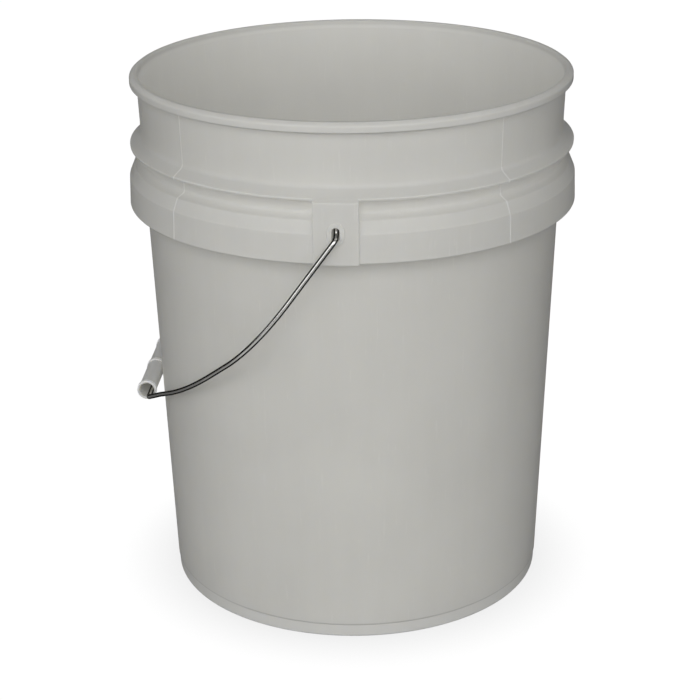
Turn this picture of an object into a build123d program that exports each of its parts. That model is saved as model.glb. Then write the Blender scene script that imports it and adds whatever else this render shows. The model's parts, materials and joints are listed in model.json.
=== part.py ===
from build123d import *

import os
from math import asin, cos, degrees, radians, sin

# Open plastic fermenting bucket with a wire bail and a loose tubular hand grip.
#
# Three pieces, in millimetres: the moulded bucket, the steel wire bail that hinges in the bucket's
# two ears, and the plastic tube that turns on the wire. +Z is up, the origin is the centre of the
# ring the bucket stands on, and the two ears lie on the Y axis. The bail is drawn hanging towards
# -X with its grip resting against the wall.

# ---------------------------------------------------------------- driving dimensions, mm

HEIGHT = 368.3              # ground to the top of the rim, 14.5 in
RIM_R = 150.8               # outside of the rim bead, 11.875 in across
WALL = 2.3                  # 90 mil moulded wall
WALL_R_AT_GROUND = 132.2    # outer face of the wall, carried down to the ground
WALL_TAPER = 0.0381         # radius gained for each mm of height

FOOT_R = 131.7              # outside of the foot ring at the ground
FOOT_INNER_R = 127.9        # inside of the foot ring at the ground
FOOT_DRAFT = 0.6            # the foot ring's inner face leans in this far
FOOT_STEP_Z = 9.4           # the wall steps in below this height
FOOT_STEP = 0.5             # depth of that step
FOOT_STEP_HALF = 0.2        # half the height over which it steps
FLOOR_BOTTOM_Z = 6.0        # recessed underside
FLOOR_TOP_Z = 8.6           # inside floor
FLOOR_CORNER = 8.0          # rounding between the inside floor and the wall

RIM_UNDERSIDE_Z = 360.6
RIM_UNDERSIDE_RISE = 1.4    # the underside slopes up this far towards its edge
RIM_EDGE_DROP = 1.9         # outer edge of the rim's top, down and across
RIM_EDGE_WIDTH = 2.6
RIM_LIP_R = 144.9           # mouth, where the lead-in starts
RIM_LIP_EDGE = 1.1          # bevel of the mouth's edge
RIM_LEAD_IN_Z = 362.8       # where the lead-in meets the straight inside wall

FLANGE_R = 152.35           # thin flared ring
FLANGE_EDGE_DRAFT = 0.2
FLANGE_TOP_Z = 320.6
FLANGE_EDGE_Z = 318.9
FLANGE_ROOT_TOP_Z = 325.9
FLANGE_ROOT_BOTTOM_Z = 317.0

SKIRT_BOTTOM_Z = 278.3      # deep stacking ring, open underneath
SKIRT_BOTTOM_R = 154.15
SKIRT_TOP_Z = 297.6
SKIRT_TOP_R = 153.55
SHOULDER_Z = 306.0
SHOULDER_R = 150.0
SHOULDER_ROOT_Z = 308.8
SKIRT_WALL = 2.3
POCKET_TOP_Z = 297.2        # inside of the stacking ring, where it turns in under the shoulder
POCKET_SHOULDER_R = 148.9
POCKET_RIB_COUNT = 24
POCKET_RIB_THICKNESS = 1.6
POCKET_RIB_BOTTOM_Z = 286.0

EAR_R = 155.2               # outer face of each ear panel
EAR_WIDTH = 29.1
EAR_BOTTOM_Z = 277.6
EAR_PANEL = 2.5             # thickness of the panel
EAR_CHEEK = 2.0             # thickness of the ear's two sides
EAR_POCKET_TOP_Z = 314.5
EAR_CORNER = 0.8            # rounding of the panel's top and bottom
EAR_EDGE = 0.6              # rounding of the panel's upright edges
EAR_TOP_DROP = 0.15         # the ear's sloping top lies this far below the flared ring's
SLOT_WIDTH = 5.1            # upright slot that the bail wire hangs in
SLOT_BOTTOM_Z = 294.0
SLOT_TOP_Z = 302.9
COLLAR_WIDTH = 3.1          # raised lip around the slot
COLLAR_HEIGHT = 0.7
COLLAR_EDGE = 0.4           # rounding of the lip's outer edge

SEAM_ANGLES = (45, 135, 225, 315)   # lines left by the four mould slides
SEAM_WIDTH = 0.5
SEAM_HEIGHT = 0.22
SEAM_END = 1.0              # the lines start this far above the stacking ring's edge

GATE_R = 5.0                # moulding gate mark under the floor
GATE_HEIGHT = 0.8
FLOOR_BEAD_R = 62.0         # shallow ring under the floor
FLOOR_BEAD_WIDTH = 3.0
FLOOR_BEAD_HEIGHT = 0.8

WIRE_R = 1.7                # 10 gauge steel wire
HINGE_Z = 296.0             # bail axis, parallel to Y
BAIL_LEG_Y = 160.4          # legs run this far out from the centre
HOOK_Y = 149.3              # upturned tail inside each ear
HOOK_LENGTH = 7.5
LEG_ANGLE = 54.1            # legs hang this far below horizontal, degrees
LEG_LENGTH = 89.4           # to the corner of the bend below each leg
BAIL_SHOULDER = (-106.65, -104.45, 170.0)
BAIL_NECK = (-130.9, -66.55, 151.0)
GRIP_BEND_Y = 50.0          # the wire turns into the grip here
BEND_HOOK = 3.2
BEND_EAR = 2.6
BEND_LEG = 114.0
BEND_SHOULDER = 249.0
BEND_NECK = 30.0
BEND_GRIP = 5.0
WIRE_END_EDGE = 0.5

GRIP_LENGTH = 88.0
GRIP_R = 6.1                # tube
GRIP_RING_R = 6.9           # raised rings at both ends and in the middle
GRIP_RING_WIDTH = 3.6
GRIP_RING_EDGE = 0.6
GRIP_RING_DRAFT = 0.3       # the rings' faces lean this far
GRIP_BORE_R = 5.0
GRIP_MOUTH_R = 5.7
GRIP_MOUTH_DEPTH = 1.05     # length of the bore's flared mouth
GRIP_Z = 143.5
GRIP_Y = 1.9                # the grip has slid this far along the wire
GRIP_WALL_GAP = 0.3         # between the rings and the bucket wall at rest
GRIP_WIRE_GAP = 0.15        # between the wire and the bore
GRIP_WIRE_ANGLE = 34.0      # the wire lies this far below the grip's axis, on the wall's side

OVERCUT = 1.0               # cuts run this far past the face they open

# ---------------------------------------------------------------- derived values


def wall_outer(z):
    """Outer radius of the tapered wall at a height."""
    return WALL_R_AT_GROUND + WALL_TAPER * z


def wall_inner(z):
    """Inner radius of the tapered wall at a height."""
    return wall_outer(z) - WALL


def wall_core(z):
    """Radius of the middle of the wall at a height, where added features are rooted."""
    return wall_outer(z) - WALL / 2


SKIRT_CORE_TOP_R = SKIRT_TOP_R - SKIRT_WALL / 2
SKIRT_CORE_BOTTOM_R = SKIRT_BOTTOM_R - SKIRT_WALL / 2
SHOULDER_CORE_R = (SHOULDER_R + POCKET_SHOULDER_R) / 2
SHOULDER_CORE_Z = SHOULDER_Z - SKIRT_WALL / 2
FLANGE_SLOPE = (FLANGE_ROOT_TOP_Z - FLANGE_TOP_Z) / (FLANGE_R - wall_outer(FLANGE_ROOT_TOP_Z))
EAR_ROOT_Z = FLANGE_ROOT_TOP_Z - EAR_TOP_DROP
EAR_TOP_Z = FLANGE_TOP_Z - EAR_TOP_DROP - FLANGE_SLOPE * (EAR_R - FLANGE_R)
EAR_ANGLE = 2 * degrees(asin(EAR_WIDTH / 2 / EAR_R))
CHEEK_ANGLE = degrees(EAR_CHEEK / EAR_R)
SLOT_MID_Z = (SLOT_BOTTOM_Z + SLOT_TOP_Z) / 2
SLOT_LENGTH = SLOT_TOP_Z - SLOT_BOTTOM_Z
SEAM_ARC = degrees(SEAM_WIDTH / EAR_R)
POCKET_RIB_STEP = 360 / POCKET_RIB_COUNT
GRIP_X = -(wall_outer(GRIP_Z) + GRIP_RING_R + GRIP_WALL_GAP)
WIRE_OFFSET = GRIP_BORE_R - WIRE_R - GRIP_WIRE_GAP

# ---------------------------------------------------------------- helpers


def radial_plane(angle):
    """Upright plane through the Z axis: local x runs outwards at the angle, local y is up."""
    outward = (cos(radians(angle)), sin(radians(angle)), 0)
    across = (sin(radians(angle)), -cos(radians(angle)), 0)
    return Plane(origin=(0, 0, 0), x_dir=outward, z_dir=across)


def outline(corners):
    """Closed outline whose corners are (x, y, rounding)."""
    points = [(x, y) for x, y, _ in corners]
    roundings = [rounding for _, _, rounding in corners]
    FilletPolyline(*points, radius=roundings, close=True)


# ---------------------------------------------------------------- bucket sections, (r, z, rounding)

UNDERSIDE_CONTOUR = [
    (0, FLOOR_BOTTOM_Z, 0),
    (FOOT_INNER_R - FOOT_DRAFT, FLOOR_BOTTOM_Z, 2.0),
    (FOOT_INNER_R, 0, 0.8),
    (FOOT_R, 0, 1.2),
    (wall_outer(FOOT_STEP_Z) - FOOT_STEP, FOOT_STEP_Z - FOOT_STEP_HALF, 0.25),
    (wall_outer(FOOT_STEP_Z), FOOT_STEP_Z + FOOT_STEP_HALF, 0.25),
]

POCKET_CONTOUR = [
    (wall_outer(SHOULDER_Z), SHOULDER_Z, 1.0),
    (POCKET_SHOULDER_R, SHOULDER_Z - SKIRT_WALL, 1.0),
    (SKIRT_TOP_R - SKIRT_WALL, POCKET_TOP_Z, 1.5),
    (SKIRT_BOTTOM_R - SKIRT_WALL, SKIRT_BOTTOM_Z, 0.6),
]

# The outer contour that the mould slides form, from the skirt's bottom edge up to the rim.
SLIDE_CONTOUR = [
    (SKIRT_BOTTOM_R, SKIRT_BOTTOM_Z, 0.9),
    (SKIRT_TOP_R, SKIRT_TOP_Z, 2.2),
    (SHOULDER_R, SHOULDER_Z, 1.8),
    (wall_outer(SHOULDER_ROOT_Z), SHOULDER_ROOT_Z, 2.5),
    (wall_outer(FLANGE_ROOT_BOTTOM_Z), FLANGE_ROOT_BOTTOM_Z, 1.2),
    (FLANGE_R - FLANGE_EDGE_DRAFT, FLANGE_EDGE_Z, 0.5),
    (FLANGE_R, FLANGE_TOP_Z, 0.6),
    (wall_outer(FLANGE_ROOT_TOP_Z), FLANGE_ROOT_TOP_Z, 4.0),
    (wall_outer(RIM_UNDERSIDE_Z), RIM_UNDERSIDE_Z, 1.0),
]

RIM_CONTOUR = [
    (RIM_R, RIM_UNDERSIDE_Z + RIM_UNDERSIDE_RISE, 0.7),
    (RIM_R, HEIGHT - RIM_EDGE_DROP, 1.9),
    (RIM_R - RIM_EDGE_WIDTH, HEIGHT, 1.0),
    (RIM_LIP_R + RIM_LIP_EDGE, HEIGHT, 0.8),
    (RIM_LIP_R, HEIGHT - RIM_LIP_EDGE, 0.5),
    (wall_inner(RIM_LEAD_IN_Z), RIM_LEAD_IN_Z, 1.5),
]

INSIDE_CONTOUR = [
    (wall_inner(FLOOR_TOP_Z), FLOOR_TOP_Z, FLOOR_CORNER),
    (0, FLOOR_TOP_Z, 0),
]

BUCKET_SECTION = UNDERSIDE_CONTOUR + POCKET_CONTOUR + SLIDE_CONTOUR + RIM_CONTOUR + INSIDE_CONTOUR

POCKET_RIB_SECTION = [
    (wall_core(POCKET_RIB_BOTTOM_Z), POCKET_RIB_BOTTOM_Z),
    (SKIRT_CORE_BOTTOM_R, POCKET_RIB_BOTTOM_Z),
    (SKIRT_CORE_TOP_R, POCKET_TOP_Z),
    (SHOULDER_CORE_R, SHOULDER_CORE_Z),
    (wall_core(SHOULDER_Z), SHOULDER_Z),
]

EAR_SECTION = [
    (wall_core(EAR_BOTTOM_Z), EAR_BOTTOM_Z, 0),
    (EAR_R, EAR_BOTTOM_Z, EAR_CORNER),
    (EAR_R, EAR_TOP_Z, EAR_CORNER),
    (wall_outer(FLANGE_ROOT_TOP_Z), EAR_ROOT_Z, 0),
    (wall_core(FLANGE_ROOT_TOP_Z), EAR_ROOT_Z, 0),
]

EAR_POCKET_SECTION = [
    (wall_outer(EAR_BOTTOM_Z), EAR_BOTTOM_Z - OVERCUT, 0),
    (EAR_R - EAR_PANEL, EAR_BOTTOM_Z - OVERCUT, 0),
    (EAR_R - EAR_PANEL, EAR_POCKET_TOP_Z, 1.5),
    (wall_outer(EAR_POCKET_TOP_Z), EAR_POCKET_TOP_Z, 0),
]

# Thin upright strip just proud of the slide contour, rooted in the plastic behind it.
SEAM_PROUD = [(r + SEAM_HEIGHT, z) for r, z, _ in SLIDE_CONTOUR[1:-1]]
SEAM_SECTION = [
    (SKIRT_BOTTOM_R + SEAM_HEIGHT, SKIRT_BOTTOM_Z + SEAM_END),
    *SEAM_PROUD,
    (wall_outer(RIM_UNDERSIDE_Z) + SEAM_HEIGHT, RIM_UNDERSIDE_Z + RIM_UNDERSIDE_RISE / 2),
    (wall_core(RIM_UNDERSIDE_Z), RIM_UNDERSIDE_Z + RIM_UNDERSIDE_RISE / 2),
    (wall_core(SHOULDER_ROOT_Z), SHOULDER_Z),
    (SHOULDER_CORE_R, SHOULDER_CORE_Z),
    (SKIRT_CORE_TOP_R, POCKET_TOP_Z),
    (SKIRT_CORE_TOP_R, SKIRT_BOTTOM_Z + SEAM_END),
]

# ---------------------------------------------------------------- ear, as a loose block on +Y

with BuildPart() as ear_block:
    with BuildSketch(radial_plane(90 + EAR_ANGLE / 2)):
        with BuildLine():
            outline(EAR_SECTION)
        make_face()
    revolve(axis=-Axis.Z, revolution_arc=EAR_ANGLE)
    upright_edges = ear_block.edges().filter_by(Axis.Z).sort_by(Axis.Y).group_by(Axis.Y)[-1]
    fillet(upright_edges, EAR_EDGE)

# ---------------------------------------------------------------- bucket

with BuildPart() as bucket:
    # Wall, floor, foot, stacking ring, flared ring and rim, as one turned section.
    with BuildSketch(Plane.XZ):
        with BuildLine():
            outline(BUCKET_SECTION)
        make_face()
    revolve(axis=Axis.Z)

    # Upright ribs hidden in the pocket behind the stacking ring, clear of both ears.
    rib_planes = [radial_plane(POCKET_RIB_STEP * (i + 0.5)) for i in range(POCKET_RIB_COUNT)]
    with BuildSketch(*rib_planes):
        with BuildLine():
            Polyline(*POCKET_RIB_SECTION, close=True)
        make_face()
    extrude(amount=POCKET_RIB_THICKNESS / 2, both=True)

    # Ears: the solid block across both rings, then a pocket for the bail's tail.
    with PolarLocations(0, 2):
        add(ear_block.part)
    for ear_angle in (90, 270):
        with BuildSketch(radial_plane(ear_angle + EAR_ANGLE / 2 - CHEEK_ANGLE)):
            with BuildLine():
                outline(EAR_POCKET_SECTION)
            make_face()
        revolve(axis=-Axis.Z, revolution_arc=EAR_ANGLE - 2 * CHEEK_ANGLE, mode=Mode.SUBTRACT)

    # Collar and slot of each ear, drawn on planes that face outwards.
    for side in (-1, 1):
        panel_middle = Plane(
            origin=(0, side * (EAR_R - EAR_PANEL / 2), SLOT_MID_Z), x_dir=(1, 0, 0), z_dir=(0, side, 0)
        )
        with BuildSketch(panel_middle):
            SlotOverall(SLOT_LENGTH + 2 * COLLAR_WIDTH, SLOT_WIDTH + 2 * COLLAR_WIDTH, rotation=90)
        extrude(amount=EAR_PANEL / 2 + COLLAR_HEIGHT)
        collar_face = bucket.faces().filter_by(Axis.Y).sort_by(Axis.Y)[-1 if side > 0 else 0]
        fillet(collar_face.edges(), COLLAR_EDGE)
        with BuildSketch(panel_middle):
            SlotOverall(SLOT_LENGTH, SLOT_WIDTH, rotation=90)
        slot_reach = EAR_PANEL / 2 + COLLAR_HEIGHT + OVERCUT
        extrude(amount=slot_reach, both=True, mode=Mode.SUBTRACT)

    # Mould seams at the four slide joints.
    for angle in SEAM_ANGLES:
        with BuildSketch(radial_plane(angle + SEAM_ARC / 2)):
            with BuildLine():
                Polyline(*SEAM_SECTION, close=True)
            make_face()
        revolve(axis=-Axis.Z, revolution_arc=SEAM_ARC)

    # Gate mark and shallow ring under the floor.
    with BuildSketch(Plane.XY.offset(FLOOR_BOTTOM_Z)):
        Circle(GATE_R)
    extrude(amount=-GATE_HEIGHT)
    with BuildSketch(Plane.XY.offset(FLOOR_BOTTOM_Z)):
        Circle(FLOOR_BEAD_R)
        Circle(FLOOR_BEAD_R - FLOOR_BEAD_WIDTH, mode=Mode.SUBTRACT)
    extrude(amount=-FLOOR_BEAD_HEIGHT)

bucket.part.label = "bucket"

# ---------------------------------------------------------------- bail

leg_end = (
    -LEG_LENGTH * cos(radians(LEG_ANGLE)),
    -BAIL_LEG_Y,
    HINGE_Z - LEG_LENGTH * sin(radians(LEG_ANGLE)),
)
grip_bend = (
    GRIP_X + WIRE_OFFSET * cos(radians(GRIP_WIRE_ANGLE)),
    -GRIP_BEND_Y,
    GRIP_Z - WIRE_OFFSET * sin(radians(GRIP_WIRE_ANGLE)),
)

# Corner points of one half of the bail, from the tail in the ear to the grip.
HALF_BAIL = [
    (0, -HOOK_Y, HINGE_Z + HOOK_LENGTH),
    (0, -HOOK_Y, HINGE_Z),
    (0, -BAIL_LEG_Y, HINGE_Z),
    leg_end,
    BAIL_SHOULDER,
    BAIL_NECK,
    grip_bend,
]
HALF_BENDS = [BEND_HOOK, BEND_EAR, BEND_LEG, BEND_SHOULDER, BEND_NECK, BEND_GRIP]
OTHER_HALF = [(x, -y, z) for x, y, z in reversed(HALF_BAIL)]

with BuildPart() as bail:
    with BuildLine() as bail_path:
        FilletPolyline(*HALF_BAIL, *OTHER_HALF, radius=HALF_BENDS + HALF_BENDS[::-1])
    with BuildSketch(Plane(origin=bail_path.line @ 0, z_dir=bail_path.line % 0)):
        Circle(WIRE_R)
    sweep(path=bail_path.line)
    chamfer(bail.faces().filter_by(GeomType.PLANE).edges(), WIRE_END_EDGE)

bail.part.label = "bail"

# ---------------------------------------------------------------- grip

grip_end = GRIP_LENGTH / 2
end_ring = grip_end - GRIP_RING_WIDTH
mid_ring = GRIP_RING_WIDTH / 2
bore_end = grip_end - GRIP_MOUTH_DEPTH

# One half of the wall's section: (distance from the middle, radius, rounding).
HALF_GRIP = [
    (bore_end, GRIP_BORE_R, 0.5),
    (grip_end, GRIP_MOUTH_R, 0.2),
    (grip_end, GRIP_RING_R, GRIP_RING_EDGE),
    (end_ring, GRIP_RING_R, GRIP_RING_EDGE),
    (end_ring - GRIP_RING_DRAFT, GRIP_R, GRIP_RING_DRAFT),
    (mid_ring + GRIP_RING_DRAFT, GRIP_R, GRIP_RING_DRAFT),
    (mid_ring, GRIP_RING_R, GRIP_RING_EDGE),
]
OTHER_GRIP_HALF = [(-along, r, rounding) for along, r, rounding in reversed(HALF_GRIP)]

with BuildPart() as grip:
    with BuildSketch(Plane(origin=(GRIP_X, GRIP_Y, GRIP_Z), x_dir=(0, 1, 0), z_dir=(1, 0, 0))):
        with BuildLine():
            outline(HALF_GRIP + OTHER_GRIP_HALF)
        make_face()
    revolve(axis=Axis((GRIP_X, 0, GRIP_Z), (0, 1, 0)))

grip.part.label = "grip"

# ---------------------------------------------------------------- files

os.makedirs("parts", exist_ok=True)
export_step(bucket.part, "parts/bucket.step")
export_step(bail.part, "parts/bail.step")
export_step(grip.part, "parts/grip.step")
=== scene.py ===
import json
from math import asin, ceil, cos, pi, radians, sin, tan

import bmesh
import bpy
from mathutils import Matrix, Vector


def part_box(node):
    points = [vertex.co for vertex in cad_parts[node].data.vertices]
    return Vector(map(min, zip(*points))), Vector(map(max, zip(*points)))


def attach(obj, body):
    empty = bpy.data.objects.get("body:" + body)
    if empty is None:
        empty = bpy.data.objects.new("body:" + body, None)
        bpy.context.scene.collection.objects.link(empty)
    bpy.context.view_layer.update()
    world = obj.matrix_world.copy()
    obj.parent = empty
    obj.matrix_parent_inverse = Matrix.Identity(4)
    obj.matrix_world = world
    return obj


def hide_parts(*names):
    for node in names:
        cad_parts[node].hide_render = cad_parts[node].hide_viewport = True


# Looks of the open plastic fermenting bucket: a moulded shell, a steel wire bail and a tubular grip,
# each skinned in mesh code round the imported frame. Shapes are in millimetres and are scaled once,
# when a mesh is made; everything else is in metres.

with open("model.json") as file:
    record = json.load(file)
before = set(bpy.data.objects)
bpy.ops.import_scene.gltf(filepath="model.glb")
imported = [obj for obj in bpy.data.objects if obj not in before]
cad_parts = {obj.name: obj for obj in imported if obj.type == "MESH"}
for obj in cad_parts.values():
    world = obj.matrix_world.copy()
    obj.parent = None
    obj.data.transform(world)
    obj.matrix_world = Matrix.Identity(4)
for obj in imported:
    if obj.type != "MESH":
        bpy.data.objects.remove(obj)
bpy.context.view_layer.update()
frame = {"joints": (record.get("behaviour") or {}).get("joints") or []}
MM = 0.001
joints = {joint["name"]: joint for joint in frame["joints"]}

# ---------------------------------------------------------------- sizes, mm

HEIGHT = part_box("bucket")[1].z / MM
EAR_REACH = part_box("bucket")[1].y / MM          # outer face of the collar round each slot
HINGE_Z = joints["bail_swing"]["pos_m"][2] / MM
LEG_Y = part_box("bail")[1].y / MM                # outside of the bail's legs
GRIP_X, _, GRIP_Z = (value / MM for value in joints["grip_spin"]["pos_m"])
GRIP_ENDS = [corner.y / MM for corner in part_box("grip")]

WALL = 2.3
WALL_R_AT_GROUND = 132.2                        # outer face of the wall, carried down to the ground
WALL_TAPER = 0.0381
ARC_STEP = radians(22)
ARC_CHORD = 3.0                                 # longest straight step round a bend
TURN_COLUMNS = 360
SHARP_ANGLE = radians(35)

FOOT_R = (127.9, 131.7)                         # inside and outside of the foot ring at the ground
FOOT_DRAFT = 0.6
FOOT_STEP = 0.5
FOOT_STEP_Z = (9.2, 9.6)
FLOOR_BOTTOM_Z = 6.0
FLOOR_TOP_Z = 8.6
FLOOR_CORNER = 8.0
FLOOR_MARK_Z = 5.2                              # gate mark and shallow ring under the floor
GATE_R = 5
FLOOR_BEAD_R = (59, 62)

FLANGE_R = 152.35
FLANGE_EDGE = (FLANGE_R - 0.2, 318.9)
FLANGE_TOP_Z = 320.6
FLANGE_ROOT_Z = 325.9
FLANGE_ROOT_BOTTOM_Z = 317.0
SKIRT_BOTTOM = (154.15, 278.3)
SKIRT_TOP = (153.55, 297.6)
SHOULDER = (150.0, 306.0)
POCKET_SHOULDER = (148.9, 303.7)
POCKET_TOP_Z = 297.2
SHOULDER_ROOT_Z = 308.8
RIM_UNDERSIDE_Z = 360.6
RIM_UNDERSIDE_RISE = 1.4
RIM_R = 150.8
RIM_EDGE_DROP = 1.9
RIM_TOP_R = (148.2, 146.0)
RIM_LIP_R = 144.9
RIM_LIP_EDGE = 1.1
RIM_LEAD_IN_Z = 362.8

COLLAR_HEIGHT = 0.7
COLLAR_WIDTH = 3.1
COLLAR_EDGE = 0.4
EAR_R = EAR_REACH - COLLAR_HEIGHT
EAR_WIDTH = 29.1
EAR_BOTTOM_Z = 277.6
EAR_PANEL = 2.5
EAR_CHEEK = 2.0
EAR_POCKET_TOP_Z = 314.5
EAR_CORNER = 0.8
EAR_EDGE = 0.6
EAR_TOP_DROP = 0.15
SLOT_WIDTH = 5.1
SLOT_Z = (294.0, 302.9)
SLOT_BEVEL = 0.25
OVERCUT = 1.0

RIB_COUNT = 24
RIB_THICKNESS = 1.6
RIB_BOTTOM_Z = 286.0
SEAM_ANGLES = (45, 135, 225, 315)
SEAM_WIDTH = 0.5
SEAM_HEIGHT = 0.22
SEAM_RISE = 0.7                                 # the lines end this far up inside the rim bead

WIRE_R = 1.7
WIRE_SIDES = 28
WIRE_STEP = 1.2
WIRE_ARC_STEP = radians(8)
WIRE_END_EDGE = 0.5
HOOK_Y = 149.3
HOOK_LENGTH = 7.5
LEG_ANGLE = radians(54.1)
LEG_LENGTH = 89.4
BAIL_SHOULDER = Vector((-106.65, -104.45, 170.0))
BAIL_NECK = Vector((-130.9, -66.55, 151.0))
GRIP_BEND_Y = 50.0
WIRE_IN_GRIP = 3.15
WIRE_IN_GRIP_ANGLE = radians(34)
BAIL_BENDS = [3.2, 2.6, 114.0, 249.0, 30.0, 5.0]

GRIP_R = 6.1
GRIP_RING_R = 6.9
GRIP_RING_WIDTH = 3.6
GRIP_RING_EDGE = 0.6
GRIP_RING_DRAFT = 0.3
GRIP_BORE_R = 5.0
GRIP_MOUTH_R = 5.7
GRIP_MOUTH_DEPTH = 1.05
GRIP_STEP = 3.0
GRIP_COLUMNS = 96

# Painted light, as emission, in the cavity, the creases and the thin grip, standing in for light that
# passes through the plastic.
CAVITY_PAINTED_LIGHT = 0.075
CREASE_PAINTED_LIGHT = 0.10
GRIP_PAINTED_LIGHT = 0.03

BUCKET_COLOUR = (0.64, 0.636, 0.608)
GRIP_COLOUR = (0.80, 0.795, 0.765)
PALE_LINES_AND_FOOT_LIGHT = (0.86, 0.86, 0.84, 1)            # rubbed mould lines, and painted light on the foot band


def wall_outer(z):
    return WALL_R_AT_GROUND + WALL_TAPER * z


def wall_inner(z):
    return wall_outer(z) - WALL


def wall_core(z):
    return wall_outer(z) - WALL / 2


# ---------------------------------------------------------------- mesh tools


def round_corners(corners, radii, arc_step, closed=False):
    """Points along the straight runs between corners, with each corner rounded to its radius."""
    points = []
    ends = (0, len(corners) - 1)
    for i, corner in enumerate(corners):
        if radii[i] == 0 or (not closed and i in ends):
            points.append(corner.copy())
            continue
        back = (corners[i - 1] - corner).normalized()
        ahead = (corners[(i + 1) % len(corners)] - corner).normalized()
        half = back.angle(ahead) / 2
        centre = corner + (back + ahead).normalized() * (radii[i] / sin(half))
        reach = radii[i] / tan(half)
        first_arm = (corner + back * reach - centre).normalized()
        last_arm = (corner + ahead * reach - centre).normalized()
        turn = pi - 2 * half
        steps = max(2, ceil(turn / arc_step), ceil(turn * radii[i] / ARC_CHORD))
        points += [centre + first_arm.slerp(last_arm, k / steps) * radii[i] for k in range(steps + 1)]
    return points


def subdivided(points, longest):
    """The same line with extra points, so that no run is longer than the given length."""
    dense = [points[0]]
    for start, end in zip(points, points[1:]):
        parts = max(1, ceil((end - start).length / longest))
        dense += [start.lerp(end, k / parts) for k in range(1, parts + 1)]
    return dense


def outline(corners, closed=True, longest=None):
    """Points (r, 0, z) of an outline given as (r, z, rounding) corners."""
    points = [Vector((r, 0, z)) for r, z, _ in corners]
    radii = [rounding for _, _, rounding in corners]
    points = round_corners(points, radii, ARC_STEP, closed)
    return subdivided(points, longest) if longest else points


def turned(points, angle):
    """The points carried round the Z axis."""
    turn = Matrix.Rotation(angle, 3, "Z")
    return [turn @ point for point in points]


def skin(name, columns, loop=True, ring=False):
    """Object whose surface runs from column to column of points, in millimetres.

    loop closes each column on itself and ring joins the last column to the first; loops that
    don't form a ring are capped.
    """
    bm = bmesh.new()
    rows = [[bm.verts.new(point * MM) for point in column] for column in columns]
    pairs = list(zip(rows, rows[1:]))
    if ring:
        pairs.append((rows[-1], rows[0]))
    for a, b in pairs:
        for i in range(len(a) if loop else len(a) - 1):
            j = (i + 1) % len(a)
            bm.faces.new((a[i], a[j], b[j], b[i]))
    if loop and not ring:
        bm.faces.new(rows[0])
        bm.faces.new(rows[-1])
    bmesh.ops.remove_doubles(bm, verts=bm.verts, dist=MM * MM)
    bmesh.ops.recalc_face_normals(bm, faces=bm.faces)
    mesh = bpy.data.meshes.new(name)
    bm.to_mesh(mesh)
    bm.free()
    obj = bpy.data.objects.new(name, mesh)
    bpy.context.scene.collection.objects.link(obj)
    return obj


def joined(name, objects):
    """One object made of several separate solids."""
    bm = bmesh.new()
    for obj in objects:
        bm.from_mesh(obj.data)
        bpy.data.objects.remove(obj)
    mesh = bpy.data.meshes.new(name)
    bm.to_mesh(mesh)
    bm.free()
    obj = bpy.data.objects.new(name, mesh)
    bpy.context.scene.collection.objects.link(obj)
    return obj


def combine(body, tool, operation):
    """Adds a tool solid to the body or cuts it away, and removes the tool."""
    modifier = body.modifiers.new(operation, "BOOLEAN")
    modifier.object = tool
    modifier.operation = operation
    modifier.solver = "MANIFOLD"
    evaluated = body.evaluated_get(bpy.context.evaluated_depsgraph_get())
    result = bpy.data.meshes.new_from_object(evaluated)
    body.modifiers.clear()
    body.data = result
    bpy.data.objects.remove(tool)


def finish_shading(obj):
    """Smooth faces with sharp edges kept, and normals that follow the larger faces."""
    obj.data.shade_smooth()
    obj.data.set_sharp_from_angle(angle=SHARP_ANGLE)
    weighted = obj.modifiers.new("weighted_normals", "WEIGHTED_NORMAL")
    weighted.keep_sharp = True


# ---------------------------------------------------------------- bucket


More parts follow.
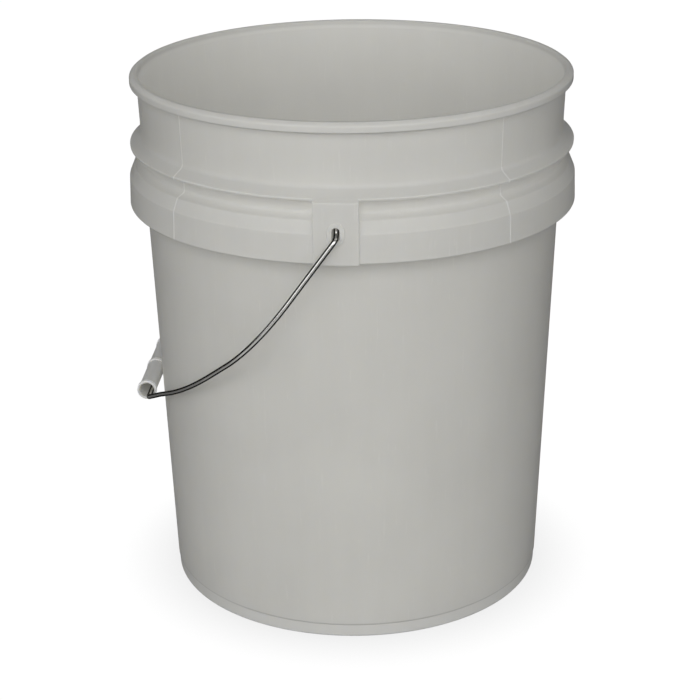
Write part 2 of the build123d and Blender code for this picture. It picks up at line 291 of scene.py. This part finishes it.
def bucket_outline():
    """Turned section of the bucket, from the middle of its underside round to the inside floor."""
    bead_inner, bead_outer = FLOOR_BEAD_R
    foot_inner, foot_outer = FOOT_R
    step_bottom, step_top = FOOT_STEP_Z
    step_r = wall_outer((step_bottom + step_top) / 2)
    underside = [
        (0, FLOOR_MARK_Z, 0),
        (GATE_R, FLOOR_MARK_Z, 0.3),
        (GATE_R, FLOOR_BOTTOM_Z, 0.3),
        (bead_inner, FLOOR_BOTTOM_Z, 0.3),
        (bead_inner, FLOOR_MARK_Z, 0.3),
        (bead_outer, FLOOR_MARK_Z, 0.3),
        (bead_outer, FLOOR_BOTTOM_Z, 0.3),
        (foot_inner - FOOT_DRAFT, FLOOR_BOTTOM_Z, 2.0),
        (foot_inner, 0, 0.8),
        (foot_outer, 0, 1.2),
        (step_r - FOOT_STEP, step_bottom, 0.25),
        (step_r, step_top, 0.25),
    ]
    pocket = [
        (wall_outer(SHOULDER[1]), SHOULDER[1], 1.0),
        (*POCKET_SHOULDER, 1.0),
        (SKIRT_TOP[0] - WALL, POCKET_TOP_Z, 1.5),
        (SKIRT_BOTTOM[0] - WALL, SKIRT_BOTTOM[1], 0.6),
    ]
    rings = [
        (*SKIRT_BOTTOM, 0.9),
        (*SKIRT_TOP, 2.2),
        (*SHOULDER, 1.8),
        (wall_outer(SHOULDER_ROOT_Z), SHOULDER_ROOT_Z, 2.5),
        (wall_outer(FLANGE_ROOT_BOTTOM_Z), FLANGE_ROOT_BOTTOM_Z, 1.2),
        (*FLANGE_EDGE, 0.5),
        (FLANGE_R, FLANGE_TOP_Z, 0.6),
        (wall_outer(FLANGE_ROOT_Z), FLANGE_ROOT_Z, 4.0),
        (wall_outer(RIM_UNDERSIDE_Z), RIM_UNDERSIDE_Z, 1.0),
    ]
    rim = [
        (RIM_R, RIM_UNDERSIDE_Z + RIM_UNDERSIDE_RISE, 0.7),
        (RIM_R, HEIGHT - RIM_EDGE_DROP, RIM_EDGE_DROP),
        (RIM_TOP_R[0], HEIGHT, 1.0),
        (RIM_TOP_R[1], HEIGHT, 0.8),
        (RIM_LIP_R, HEIGHT - RIM_LIP_EDGE, 0.5),
        (wall_inner(RIM_LEAD_IN_Z), RIM_LEAD_IN_Z, 1.5),
    ]
    inside = [(wall_inner(FLOOR_TOP_Z), FLOOR_TOP_Z, FLOOR_CORNER), (0, FLOOR_TOP_Z, 0)]
    return outline(underside + pocket + rings + rim + inside, closed=False, longest=8.0)


def ear_outline(inset):
    """Section of an ear, drawn in by the inset to round the ear's upright edges."""
    slope = (FLANGE_ROOT_Z - FLANGE_TOP_Z) / (FLANGE_R - wall_outer(FLANGE_ROOT_Z))
    face = EAR_R - inset
    top = FLANGE_TOP_Z - EAR_TOP_DROP - slope * (EAR_R - FLANGE_R) - inset / 2
    root = FLANGE_ROOT_Z - EAR_TOP_DROP - inset / 2
    return outline([
        (wall_core(EAR_BOTTOM_Z), EAR_BOTTOM_Z + inset, 0),
        (face, EAR_BOTTOM_Z + inset, EAR_CORNER),
        (face, top, EAR_CORNER),
        (wall_outer(FLANGE_ROOT_Z), root, 0),
        (wall_core(FLANGE_ROOT_Z), root, 0),
    ])


def ear(middle):
    """Solid block of one ear, its upright edges rounded."""
    half = asin(EAR_WIDTH / 2 / EAR_R)
    edge = EAR_EDGE / EAR_R
    steps = 4
    ends = [k / steps * pi / 2 for k in range(steps)]
    rising = [(half - edge * (1 - cos(turn)), EAR_EDGE * (1 - sin(turn))) for turn in ends]
    flat = [((half - edge) * (1 - k / 6), 0) for k in range(7)]
    right = rising + flat
    left = [(-offset, inset) for offset, inset in reversed(right[:-1])]
    return skin("ear", [turned(ear_outline(inset), middle + offset) for offset, inset in right + left])


def ear_pocket(middle):
    """Room behind an ear's panel, open below, for the bail's tail."""
    half = asin(EAR_WIDTH / 2 / EAR_R) - EAR_CHEEK / EAR_R
    back = EAR_R - EAR_PANEL
    points = outline([
        (wall_outer(EAR_BOTTOM_Z), EAR_BOTTOM_Z - OVERCUT, 0),
        (back, EAR_BOTTOM_Z - OVERCUT, 0),
        (back, EAR_POCKET_TOP_Z, 1.5),
        (wall_outer(EAR_POCKET_TOP_Z), EAR_POCKET_TOP_Z, 0),
    ])
    steps = 10
    angles = [middle + half * (2 * k / steps - 1) for k in range(steps + 1)]
    return skin("pocket", [turned(points, angle) for angle in angles])


def stadium(y, side, grow):
    """Upright slot outline at a distance along Y, grown outwards."""
    low, high = SLOT_Z[0] + SLOT_WIDTH / 2, SLOT_Z[1] - SLOT_WIDTH / 2
    radius = SLOT_WIDTH / 2 + grow
    steps = 14
    turns = [pi * k / steps for k in range(steps + 1)]
    upper = [Vector((radius * cos(t), y * side, high + radius * sin(t))) for t in turns]
    lower = [Vector((-radius * cos(t), y * side, low - radius * sin(t))) for t in turns]
    return upper + lower


def collar(side):
    """Raised lip round a slot, with a rounded outer edge."""
    steps = 4
    turns = [k / steps * pi / 2 for k in range(steps + 1)]
    sections = [(EAR_R - EAR_PANEL / 2, 0)]
    sections += [(EAR_REACH - COLLAR_EDGE * (1 - sin(t)), COLLAR_EDGE * (1 - cos(t))) for t in turns]
    return skin("collar", [stadium(y, side, COLLAR_WIDTH - inset) for y, inset in sections])


def slot(side):
    """Cutter for a slot, flared to bevel the lip's inner edge."""
    sections = [
        (EAR_R - EAR_PANEL - OVERCUT, 0),
        (EAR_REACH - SLOT_BEVEL, 0),
        (EAR_REACH + SLOT_BEVEL, 2 * SLOT_BEVEL),
    ]
    return skin("slot", [stadium(y, side, grow) for y, grow in sections])


def pocket_rib(angle):
    """Upright rib hidden in the pocket behind the stacking ring."""
    shoulder_core = (SHOULDER[0] + POCKET_SHOULDER[0]) / 2
    corners = [
        (wall_core(RIB_BOTTOM_Z), RIB_BOTTOM_Z),
        (SKIRT_BOTTOM[0] - WALL / 2, RIB_BOTTOM_Z),
        (SKIRT_TOP[0] - WALL / 2, POCKET_TOP_Z),
        (shoulder_core, SHOULDER[1] - WALL / 2),
        (wall_core(SHOULDER[1]), SHOULDER[1]),
    ]
    faces = [
        [Vector((r, side * RIB_THICKNESS / 2, z)) for r, z in corners]
        for side in (-1, 1)
    ]
    return skin("rib", [turned(face, angle) for face in faces])


def seam(middle):
    """Thin line that the joint of two mould slides leaves down the neck and the rings."""
    proud = [
        (SKIRT_BOTTOM[0], SKIRT_BOTTOM[1] + OVERCUT),
        SKIRT_TOP,
        SHOULDER,
        (wall_outer(SHOULDER_ROOT_Z), SHOULDER_ROOT_Z),
        (wall_outer(FLANGE_ROOT_BOTTOM_Z), FLANGE_ROOT_BOTTOM_Z),
        FLANGE_EDGE,
        (FLANGE_R, FLANGE_TOP_Z),
        (wall_outer(FLANGE_ROOT_Z), FLANGE_ROOT_Z),
        (wall_outer(RIM_UNDERSIDE_Z), RIM_UNDERSIDE_Z + SEAM_RISE),
    ]
    skirt_core = SKIRT_TOP[0] - WALL / 2
    rooted = [
        (wall_core(RIM_UNDERSIDE_Z), RIM_UNDERSIDE_Z + SEAM_RISE),
        (wall_core(SHOULDER_ROOT_Z), SHOULDER[1]),
        ((SHOULDER[0] + POCKET_SHOULDER[0]) / 2, SHOULDER[1] - WALL / 2),
        (skirt_core, POCKET_TOP_Z),
        (skirt_core, SKIRT_BOTTOM[1] + OVERCUT),
    ]
    points = [Vector((r + SEAM_HEIGHT, 0, z)) for r, z in proud] + [Vector((r, 0, z)) for r, z in rooted]
    half = SEAM_WIDTH / EAR_R / 2
    return skin("seam", [turned(points, middle - half), turned(points, middle + half)])


def make_bucket():
    """Turned shell with its ears, slots, hidden ribs and mould lines."""
    profile = bucket_outline()
    columns = [turned(profile, 2 * pi * k / TURN_COLUMNS) for k in range(TURN_COLUMNS)]
    shell = skin("bucket_shell", columns, loop=False, ring=True)
    ear_angles = [radians(90), radians(270)]
    rib_angles = [2 * pi * (k + 0.5) / RIB_COUNT for k in range(RIB_COUNT)]
    combine(shell, joined("ears", [ear(angle) for angle in ear_angles]), "UNION")
    combine(shell, joined("pockets", [ear_pocket(angle) for angle in ear_angles]), "DIFFERENCE")
    details = [collar(side) for side in (-1, 1)]
    details += [pocket_rib(angle) for angle in rib_angles]
    details += [seam(radians(angle)) for angle in SEAM_ANGLES]
    combine(shell, joined("details", details), "UNION")
    combine(shell, joined("slots", [slot(side) for side in (-1, 1)]), "DIFFERENCE")
    finish_shading(shell)
    return shell


# ---------------------------------------------------------------- bail


def make_bail():
    """Drawn wire bent from the tail in one ear, along the grip, to the tail in the other."""
    leg_y = LEG_Y - WIRE_R
    leg_end = Vector((-LEG_LENGTH * cos(LEG_ANGLE), -leg_y, HINGE_Z - LEG_LENGTH * sin(LEG_ANGLE)))
    grip_bend = Vector((
        GRIP_X + WIRE_IN_GRIP * cos(WIRE_IN_GRIP_ANGLE),
        -GRIP_BEND_Y,
        GRIP_Z - WIRE_IN_GRIP * sin(WIRE_IN_GRIP_ANGLE),
    ))
    half = [
        Vector((0, -HOOK_Y, HINGE_Z + HOOK_LENGTH)),
        Vector((0, -HOOK_Y, HINGE_Z)),
        Vector((0, -leg_y, HINGE_Z)),
        leg_end,
        BAIL_SHOULDER,
        BAIL_NECK,
        grip_bend,
    ]
    other_half = [Vector((p.x, -p.y, p.z)) for p in reversed(half)]
    bends = [0] + BAIL_BENDS
    path = round_corners(half + other_half, bends + bends[::-1], WIRE_ARC_STEP)
    path = subdivided(path, WIRE_STEP)

    start_cut = (path[1] - path[0]).normalized() * WIRE_END_EDGE
    end_cut = (path[-2] - path[-1]).normalized() * WIRE_END_EDGE
    path = [path[0], path[0] + start_cut] + path[1:-1] + [path[-1] + end_cut, path[-1]]
    radii = [WIRE_R] * len(path)
    radii[0] = radii[-1] = WIRE_R - WIRE_END_EDGE

    direction = (path[1] - path[0]).normalized()
    across = direction.orthogonal().normalized()
    columns = []
    runs = []
    for i, (point, radius) in enumerate(zip(path, radii)):
        ahead = (path[min(i + 1, len(path) - 1)] - path[max(i - 1, 0)]).normalized()
        across = (direction.rotation_difference(ahead) @ across).normalized()
        direction = ahead
        other = direction.cross(across)
        turns = [2 * pi * k / WIRE_SIDES for k in range(WIRE_SIDES)]
        columns.append([point + (across * cos(t) + other * sin(t)) * radius for t in turns])
        runs += [direction] * WIRE_SIDES
    wire = skin("bail_wire", columns)
    run = wire.data.attributes.new("run", "FLOAT_VECTOR", "POINT")
    for stored, along in zip(run.data, runs, strict=True):
        stored.vector = along
    finish_shading(wire)
    return wire


# ---------------------------------------------------------------- grip


def make_grip():
    """Loose plastic tube with a raised ring at each end and one in the middle."""
    near, far = GRIP_ENDS
    middle, end = (near + far) / 2, (far - near) / 2
    end_ring = end - GRIP_RING_WIDTH
    mid_ring = GRIP_RING_WIDTH / 2
    half = [
        (end - GRIP_MOUTH_DEPTH, GRIP_BORE_R, 0.5),
        (end, GRIP_MOUTH_R, 0.2),
        (end, GRIP_RING_R, GRIP_RING_EDGE),
        (end_ring, GRIP_RING_R, GRIP_RING_EDGE),
        (end_ring - GRIP_RING_DRAFT, GRIP_R, 0.3),
        (mid_ring + GRIP_RING_DRAFT, GRIP_R, 0.3),
        (mid_ring, GRIP_RING_R, GRIP_RING_EDGE),
    ]
    corners = [Vector((0, along, r)) for along, r, _ in half]
    corners += [Vector((0, -along, r)) for along, r, _ in reversed(half)]
    roundings = [rounding for _, _, rounding in half]
    section = round_corners(corners, roundings + roundings[::-1], ARC_STEP, closed=True)
    section = subdivided(section + section[:1], GRIP_STEP)[:-1]
    place = Vector((GRIP_X, middle, GRIP_Z))
    columns = []
    for k in range(GRIP_COLUMNS):
        turn = Matrix.Rotation(2 * pi * k / GRIP_COLUMNS, 3, "Y")
        columns.append([place + turn @ point for point in section])
    tube = skin("grip_tube", columns, ring=True)
    finish_shading(tube)
    return tube


# ---------------------------------------------------------------- materials


class Nodes:
    """Short way to build a material's node tree."""

    def __init__(self, name):
        self.material = bpy.data.materials.new(name)
        self.material.use_nodes = True
        self.tree = self.material.node_tree
        self.tree.nodes.clear()
        self.output = self.add("ShaderNodeOutputMaterial")

    def add(self, kind, inputs=None, **settings):
        node = self.tree.nodes.new(kind)
        for key, value in settings.items():
            setattr(node, key, value)
        for key, value in (inputs or {}).items():
            self.feed(value, node.inputs[key])
        return node

    def feed(self, value, socket):
        if isinstance(value, bpy.types.NodeSocket):
            self.tree.links.new(value, socket)
        else:
            socket.default_value = value

    def math(self, operation, a, b=0.0):
        return self.add("ShaderNodeMath", {0: a, 1: b}, operation=operation).outputs[0]

    def times(self, first, *others):
        for other in others:
            first = self.math("MULTIPLY", first, other)
        return first

    def length(self, x, y):
        return self.math("SQRT", self.math("ADD", self.times(x, x), self.times(y, y)))

    def split(self, vector):
        return self.add("ShaderNodeSeparateXYZ", {0: vector}).outputs

    def openness(self, distance, samples):
        inputs = {"Distance": distance}
        return self.add("ShaderNodeAmbientOcclusion", inputs, samples=samples).outputs["AO"]

    def vector(self, operation, a, b=None, output="Vector"):
        node = self.add("ShaderNodeVectorMath", {0: a}, operation=operation)
        if b is not None:
            self.feed(b, node.inputs["Scale" if operation == "SCALE" else 1])
        return node.outputs[output]

    def remap(self, value, low, high, to_low, to_high):
        inputs = {0: value, 1: low, 2: high, 3: to_low, 4: to_high}
        return self.add("ShaderNodeMapRange", inputs).outputs[0]

    def mix(self, amount, a, b, blend_type="MIX"):
        node = self.add("ShaderNodeMix", data_type="RGBA", blend_type=blend_type)
        self.feed(amount, node.inputs[0])
        self.feed(a, node.inputs[6])
        self.feed(b, node.inputs[7])
        return node.outputs[2]

    def noise(self, vector, scale, detail=2.0, roughness=0.5):
        inputs = {"Vector": vector, "Scale": scale, "Detail": detail, "Roughness": roughness}
        return self.add("ShaderNodeTexNoise", inputs).outputs[0]

    def stretched(self, vector, x, y, z):
        return self.add("ShaderNodeMapping", {"Vector": vector, "Scale": (x, y, z)}).outputs[0]

    def bump(self, height, distance, normal=None):
        inputs = {"Height": height, "Distance": distance, "Strength": 1.0}
        if normal is not None:
            inputs["Normal"] = normal
        return self.add("ShaderNodeBump", inputs).outputs[0]


def bucket_marks_and_painted_light(n, here, base):
    """Colour with paler mould lines, painted light on the foot band and painted shade along its step,
    and painted light as emission in the cavity and the creases.
    """
    x, y, z = n.split(here)
    off_line = n.math("ABSOLUTE", n.math("SUBTRACT", n.math("ABSOLUTE", x), n.math("ABSOLUTE", y)))
    wall = n.math("MULTIPLY_ADD", z, WALL_TAPER)
    wall.node.inputs[2].default_value = wall_outer(0) * MM
    beyond = n.math("SUBTRACT", n.length(x, y), wall)

    on_line = n.remap(off_line, 0.55 * MM, 1.2 * MM, 1.0, 0.0)
    proud = n.remap(beyond, 0.05 * MM, 0.12 * MM, 0.0, 1.0)
    below_rim = n.remap(z, 360.0 * MM, RIM_UNDERSIDE_Z * MM, 1.0, 0.0)
    base = n.mix(n.times(on_line, proud, below_rim, 0.5), base, PALE_LINES_AND_FOOT_LIGHT)

    outer = n.remap(beyond, -1.5 * MM, -1.0 * MM, 0.0, 1.0)
    # Painted light: the foot band below its step is made paler.
    foot = n.remap(z, 9.3 * MM, 9.0 * MM, 0.0, 1.0)
    base = n.mix(n.times(outer, foot, 0.18), base, PALE_LINES_AND_FOOT_LIGHT)
    # Painted shade: a dark line along the foot's step.
    step = n.times(n.remap(z, 9.0 * MM, 9.3 * MM, 0.0, 1.0), n.remap(z, 9.9 * MM, 10.6 * MM, 1.0, 0.0))
    base = n.mix(n.times(outer, step, 0.22), base, (0.10, 0.10, 0.09, 1))

    # Painted light: emission in the cavity, and in creases where ambient occlusion finds shade, standing
    # in for light through the plastic.
    inside = n.remap(beyond, -1.9 * MM, -1.6 * MM, 1.0, 0.0)
    above_floor = n.remap(z, 8.0 * MM, 8.4 * MM, 0.0, 1.0)
    openness = n.openness(12 * MM, 6)
    painted_crease_light = n.remap(openness, 0.80, 0.45, 0.0, CREASE_PAINTED_LIGHT)
    not_deep = n.remap(openness, 0.12, 0.32, 0.0, 1.0)
    above_foot = n.remap(z, 15 * MM, 30 * MM, 0.0, 1.0)
    painted_light_in_cavity = n.times(inside, above_floor, CAVITY_PAINTED_LIGHT)
    painted_light_in_creases = n.times(painted_crease_light, not_deep, above_foot)
    return base, n.math("ADD", painted_light_in_cavity, painted_light_in_creases)


def grip_marks_and_painted_light(n, here, base):
    """Colour with paler rings on a darkened tube, and the grip's even painted light as emission."""
    x, _, z = n.split(n.vector("SUBTRACT", here, (GRIP_X * MM, 0, GRIP_Z * MM)))
    ring = n.remap(n.length(x, z), (GRIP_R + 0.15) * MM, (GRIP_R + 0.5) * MM, 0.0, 1.0)
    tube = n.mix(1.0, base, (0.86, 0.86, 0.86, 1), "MULTIPLY")
    # Painted light: an even emission over the whole grip.
    return n.mix(ring, tube, (0.97, 0.965, 0.94, 1)), GRIP_PAINTED_LIGHT


def moulded_plastic(name, colour, roughness, marks_and_painted_light):
    """Satin polyethylene: faint clouding and flow streaks, fine orange peel and dry scuffs."""
    n = Nodes(name)
    here = n.add("ShaderNodeTexCoord").outputs["Object"]
    cloud = n.noise(here, 14.0, 3.0)
    streak = n.noise(n.stretched(here, 90, 90, 6), 1.0, 2.0)
    peel = n.noise(here, 900.0, 2.0)
    ripple = n.noise(here, 28.0, 1.0)
    tone = n.math("ADD", n.remap(cloud, 0.3, 0.7, -0.02, 0.02), n.remap(streak, 0.3, 0.7, 0.993, 1.007))
    base = n.mix(1.0, (*colour, 1), tone, "MULTIPLY")
    scratches = n.noise(n.stretched(here, 500, 500, 30), 1.0, 3.0, 0.7)
    scuff = n.remap(scratches, 0.62, 0.72, 0.0, 0.35)
    base = n.mix(scuff, base, tuple(min(1, c * 1.12) for c in colour) + (1,))
    # The colour functions also return an emission strength, which is painted light.
    base, painted_glow = marks_and_painted_light(n, here, base)
    cloudy = n.remap(cloud, 0.3, 0.7, roughness - 0.03, roughness + 0.05)
    rough = n.math("ADD", cloudy, n.times(scuff, 0.2))
    normal = n.add("ShaderNodeBevel", {"Radius": 0.3 * MM}, samples=4).outputs[0]
    normal = n.bump(ripple, 0.12 * MM, normal)
    normal = n.bump(peel, 0.006 * MM, normal)
    shader = n.add("ShaderNodeBsdfPrincipled", {
        "Base Color": base,
        "Roughness": rough,
        "IOR": 1.5,
        "Specular IOR Level": 0.35,
        "Subsurface Weight": 0.7,
        "Subsurface Radius": (1.0, 0.95, 0.8),
        "Subsurface Scale": 4 * MM,
        # Warm white colour of the painted light.
        "Emission Color": (1, 0.99, 0.95, 1),
        "Emission Strength": painted_glow,
        "Normal": normal,
    })
    n.feed(shader.outputs[0], n.output.inputs[0])
    return n.material


def drawn_steel(name):
    """Bright galvanised wire with fine grain and cloudy zinc.

    Its colour is painted near black away from the line that faces the viewer, a painted reflection of
    dark surroundings.
    """
    n = Nodes(name)
    here = n.add("ShaderNodeTexCoord").outputs["Object"]
    cloud = n.noise(here, 160.0, 3.0)
    grain = n.noise(here, 1400.0, 2.0)
    base = n.mix(n.remap(cloud, 0.35, 0.65, 0.0, 1.0), (0.80, 0.79, 0.76, 1), (0.92, 0.91, 0.88, 1))
    run = n.add("ShaderNodeAttribute", attribute_name="run").outputs["Vector"]
    in_world = {"convert_from": "OBJECT", "convert_to": "WORLD"}
    run = n.add("ShaderNodeVectorTransform", {0: run}, **in_world).outputs[0]
    surface = n.add("ShaderNodeNewGeometry").outputs
    along = n.vector("DOT_PRODUCT", surface["Incoming"], run, "Value")
    viewer = n.vector("SUBTRACT", surface["Incoming"], n.vector("SCALE", run, along))
    facing = n.vector("DOT_PRODUCT", n.vector("NORMALIZE", viewer), surface["Normal"], "Value")
    # Painted reflection: the colour goes near black where the surface turns from the viewer.
    base = n.mix(n.remap(facing, 0.84, 0.98, 0.0, 1.0), (0.02, 0.02, 0.019, 1), base)
    rough = n.remap(cloud, 0.3, 0.7, 0.12, 0.22)
    normal = n.bump(grain, 0.004 * MM)
    shader = n.add("ShaderNodeBsdfPrincipled", {
        "Base Color": base,
        "Metallic": 0.82,
        "Roughness": rough,
        "Specular Tint": (0.15, 0.15, 0.15, 1),
        "Normal": normal,
    })
    n.feed(shader.outputs[0], n.output.inputs[0])
    return n.material


# ---------------------------------------------------------------- stage


def make_floor():
    """Pale floor that looks white to the camera, with a soft painted contact shadow.

    Other rays see it pale near the bucket only, a painted pool of bounce light, and mirrored ones see
    the near side brighter, a painted reflection.
    """
    mesh = bpy.data.meshes.new("floor")
    signs = [(-1, -1), (1, -1), (1, 1), (-1, 1)]
    corners = [(x * FLOOR_REACH, y * FLOOR_REACH, 0) for x, y in signs]
    mesh.from_pydata(corners, [], [(0, 1, 2, 3)])
    obj = bpy.data.objects.new("floor", mesh)
    bpy.context.scene.collection.objects.link(obj)
    n = Nodes("floor")
    path = n.add("ShaderNodeLightPath")
    # Painted contact shadow: the camera's white emission is darkened where ambient occlusion finds the
    # bucket.
    shade = n.remap(n.openness(0.06, 8), 0.5, 0.95, 0.86, 1.02)
    seen = n.add("ShaderNodeEmission", {"Color": shade, "Strength": 1.0})
    here = n.add("ShaderNodeTexCoord").outputs["Object"]
    away = n.vector("LENGTH", here, output="Value")
    # Painted bounce light near the bucket, and for glossy rays a painted brighter reflection of the near
    # side.
    pale = n.remap(away, 0.5, 1.1, 0.24, 0.04)
    mirrored = n.times(pale, n.remap(n.split(here)[1], -0.05, -0.30, 0.6, 3.0))
    dull = n.add("ShaderNodeMix", {0: path.outputs["Is Glossy Ray"], 2: pale, 3: mirrored}).outputs[0]
    unseen = n.add("ShaderNodeBsdfDiffuse", {"Color": dull})
    shaders = {0: path.outputs["Is Camera Ray"], 1: unseen.outputs[0], 2: seen.outputs[0]}
    n.feed(n.add("ShaderNodeMixShader", shaders).outputs[0], n.output.inputs[0])
    mesh.materials.append(n.material)


FLOOR_REACH = 8.0

CAMERA_AT = Vector((0.09085, -1.29577, 0.67817))
CAMERA_DOWN = radians(21.759)
CAMERA_AZIMUTH = radians(4.15)
CAMERA_ROLL = radians(-0.705)
CAMERA_LENS = 99.81
SENSOR = 36.0

BACKDROP_WHITE = 1.02
WORLD_FILL = 0.03
LIGHT_DISTANCE = 2.6
LIGHT_SIZE = 1.3
LIGHT_AIM = Vector((0, 0, 0.2))
SOFTBOXES = [
    # name, degrees round from the camera, degrees up, watts
    ("front_left", -15, 35, 10.9),
    ("front_right", 15, 35, 9.1),
    ("left", -45, 35, 5.5),
    ("right", 45, 35, 4.1),
    ("low_front_left", -15, 5, 12.5),
    ("low_front_right", 15, 5, 11.1),
    ("low_left", -45, 5, 6.4),
    ("low_right", 45, 5, 7.3),
    ("low_far_left", -75, 5, 8.5),
    ("low_far_right", 75, 5, 5.7),
    ("top_back", 180, 62, 13.0),
]


def make_camera():
    """Long lens, looking down at the bucket from slightly right of its front ear."""
    data = bpy.data.cameras.new("camera")
    data.lens = CAMERA_LENS
    data.sensor_width = SENSOR
    obj = bpy.data.objects.new("camera", data)
    turn = Matrix.Rotation(CAMERA_AZIMUTH, 4, "Z")
    tilt = Matrix.Rotation(pi / 2 - CAMERA_DOWN, 4, "X")
    roll = Matrix.Rotation(CAMERA_ROLL, 4, "Z")
    obj.matrix_world = Matrix.Translation(CAMERA_AT) @ turn @ tilt @ roll
    bpy.context.scene.collection.objects.link(obj)
    bpy.context.scene.camera = obj
    return obj


def make_light_rig(camera):
    """Turntable for the lights, which keeps them round the camera's side of the bucket in every view."""
    rig = bpy.data.objects.new("light_rig", None)
    rig.location = LIGHT_AIM
    bpy.context.scene.collection.objects.link(rig)
    follow = rig.constraints.new("COPY_ROTATION")
    follow.target = camera
    follow.use_x = False
    follow.use_y = False
    return rig


def make_softbox(rig, name, azimuth, elevation, power):
    """Square area light, placed by its direction from the bucket."""
    light = bpy.data.lights.new(name, "AREA")
    light.shape = "SQUARE"
    light.size = LIGHT_SIZE
    light.energy = power
    obj = bpy.data.objects.new(name, light)
    a, e = radians(azimuth), radians(elevation)
    away = Vector((sin(a) * cos(e), -cos(a) * cos(e), sin(e)))
    obj.location = away * LIGHT_DISTANCE
    obj.rotation_euler = (-away).to_track_quat("-Z", "Y").to_euler()
    obj.parent = rig
    bpy.context.scene.collection.objects.link(obj)


def make_world():
    """White backdrop for the camera and next to no light from it."""
    world = bpy.data.worlds.new("studio")
    world.use_nodes = True
    tree = world.node_tree
    backdrop = tree.nodes["Background"]
    backdrop.inputs["Color"].default_value = (1, 1, 1, 1)
    path = tree.nodes.new("ShaderNodeLightPath")
    strength = tree.nodes.new("ShaderNodeMapRange")
    strength.inputs["To Min"].default_value = WORLD_FILL
    strength.inputs["To Max"].default_value = BACKDROP_WHITE
    tree.links.new(path.outputs["Is Camera Ray"], strength.inputs["Value"])
    tree.links.new(strength.outputs[0], backdrop.inputs["Strength"])
    bpy.context.scene.world = world


# ---------------------------------------------------------------- build

bucket_look = moulded_plastic("bucket_plastic_look", BUCKET_COLOUR, 0.45, bucket_marks_and_painted_light)
grip_look = moulded_plastic("grip_plastic_look", GRIP_COLOUR, 0.40, grip_marks_and_painted_light)
wire_look = drawn_steel("wire_steel_look")
pieces = [
    (make_bucket(), "bucket", "bucket_plastic", bucket_look),
    (make_bail(), "bail", "wire_steel", wire_look),
    (make_grip(), "grip", "grip_plastic", grip_look),
]
for piece, body, slot_name, material in pieces:
    piece.data.materials.clear()
    piece.data.materials.append(material)
    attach(piece, body)
    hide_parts(body)

make_floor()
rig = make_light_rig(make_camera())
for softbox in SOFTBOXES:
    make_softbox(rig, *softbox)
make_world()
bpy.context.scene.view_settings.view_transform = "Standard"
